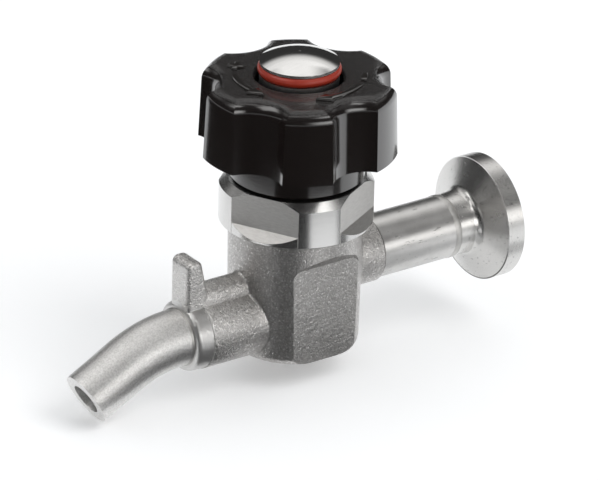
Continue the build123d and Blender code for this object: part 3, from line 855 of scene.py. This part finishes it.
ray = room.node("TexCoord", out="Generated")
studio = ROOM_GLOW + soft_step(coordinates(ray)[2], 0.30, 0.95) * CEILING_GLOW
for *placing, brightness in SOFT_BOXES.values():
    studio = studio + soft_box(ray, *placing) * brightness
even = light((0.97, 0.985, 1.0), 0.85)
reflected = light((1.0, 0.992, 0.98), studio)
white = light((1.0, 1.0, 1.0), 1.0)
from_camera, mirrored, through_glass = [
    room.node("LightPath", out=kind)
    for kind in ("Is Camera Ray", "Is Glossy Ray", "Is Transmission Ray")
]
matt_or_mirror = room.node("MixShader", sockets={0: mirrored, 1: even, 2: reflected})
seen = from_camera.maths("MAXIMUM", through_glass)
whole = room.node("MixShader", sockets={0: seen, 1: matt_or_mirror, 2: white})
output = world.node_tree.nodes["World Output"]
world.node_tree.links.new(whole.socket, output.inputs["Surface"])
print("the world has", len(world.node_tree.nodes), "nodes")

# %% [markdown]
# One broad lamp above the front gives the shadows a direction. It is left out of
# reflections, where the soft boxes already stand for it.

# %% The lamp
key_data = bpy.data.lights.new("broad_lamp", "AREA")
key_data.shape = "SQUARE"
key_data.size = 0.8
key_data.energy = 5.0
key = bpy.data.objects.new("broad_lamp", key_data)
bpy.context.scene.collection.objects.link(key)
key.location = (0.35, -0.75, 1.0)
key.rotation_mode = "QUATERNION"
key.rotation_quaternion = (key.location - AIM).to_track_quat("Z", "Y")
key.visible_glossy = False
print("lamp of", key_data.energy, "W")

# %% [markdown]
# The table is pale and matt and keeps the valve's shadow. It glows very faintly, so that it
# is as white as the room behind it. From below it can be looked through, because the
# underside of the valve is worth seeing too: its Alpha is 0 on the back of the face.

# %% The table
TABLE_LEVEL = cad_low.z - 0.4 * MM
TABLE_HALF_SIZE = 3.0


def on_stage(name, shape, material):
    mesh = bpy.data.meshes.new(name)
    shape.to_mesh(mesh)
    shape.free()
    mesh.materials.append(material)
    piece = bpy.data.objects.new(name, mesh)
    bpy.context.scene.collection.objects.link(piece)
    return piece


def table_recipe(w):
    place = drawing_place(w)
    texture = grain(place, 1.5, 3.0, 0.6)
    clouds = grain(place, 60.0, 2.0, 0.5)
    return mixed(clouds, (0.93, 0.93, 0.93), (0.95, 0.95, 0.95)), 0.75, texture * 0.01


pale_table = finish(
    "pale_table",
    table_recipe,
    Specular_IOR_Level=0.1,
    Emission_Color=(1.0, 1.0, 1.0, 1.0),
    Emission_Strength=0.13,
)
facing_away = Wire(pale_table.node_tree).node("NewGeometry", out="Backfacing")
table_shader = pale_table.node_tree.nodes["Principled BSDF"]
pale_table.node_tree.links.new((1 - facing_away).socket, table_shader.inputs["Alpha"])

table_shape = bmesh.new()
half = TABLE_HALF_SIZE
table_top = bmesh.ops.create_grid(table_shape, x_segments=1, y_segments=1, size=half)["verts"]
bmesh.ops.translate(table_shape, vec=(AIM.x, AIM.y, TABLE_LEVEL), verts=table_top)
on_stage("table", table_shape, pale_table)
print("table at", round(TABLE_LEVEL / MM, 2), "mm")

# %% [markdown]
# Bright metal over a white table loses its shape. A studio lays black and grey cards
# beside it, which put dark lines into it, and here one pale card lightens the tube again.
# Each is a flat sector round the spindle's axis, made by spinning an edge. Only mirror-like
# rays meet the cards, so they neither show nor throw shadows.

# %% The cards
def card_material(name, shade):
    def recipe(w):
        texture = grain(drawing_place(w), 0.8, 3.0, 0.6)
        return mixed(texture, (shade,) * 3, (shade * 1.2,) * 3), 0.8, texture * 0.01

    return finish(name, recipe, Specular_IOR_Level=0.1)


def card(name, near, far, start, end, lift, material):
    """A card between two distances in millimetres and two directions in degrees."""
    shape = bmesh.new()
    direction = turned_by(start) @ Vector((1, 0, 0))
    centre = Vector((SPINDLE.x, SPINDLE.y, TABLE_LEVEL + lift * MM))
    ends = [shape.verts.new(centre + direction * reach * MM) for reach in (near, far)]
    bmesh.ops.spin(
        shape,
        geom=ends + [shape.edges.new(ends)],
        cent=centre,
        axis=(0, 0, 1),
        angle=math.radians(end - start),
        steps=24,
        use_merge=False,
        use_duplicate=False,
    )
    piece = on_stage(name, shape, material)
    piece.visible_camera = False
    piece.visible_diffuse = False
    piece.visible_shadow = False
    piece.visible_transmission = False
    print(name, "from", near, "to", far, "mm")


black_card = card_material("black_card", 0.012)
dark_card = card_material("dark_card", 0.085)
grey_card = card_material("grey_card", 0.12)
pale_card = card_material("pale_card", 0.52)
card("far_card", 104, 900, -245, -51, 0.4, black_card)
card("near_card", 16, 76, -166, -106, 0.6, dark_card)
card("outer_card", 76, 108, -160, -106, 0.6, black_card)
card("foot_card", 14, 34, -106, -72, 0.7, grey_card)
card("middle_card", 14, 62, -72, -50, 0.7, grey_card)
card("side_card", 62, 108, -65, -50, 0.8, grey_card)
card("tube_card", 14, 76, -50, -20, 0.5, pale_card)

# %% [markdown]
# Last comes the colour handling, which is left plain so that colours appear as written.

# %% Colours and the end
bpy.context.scene.view_settings.view_transform = "Standard"
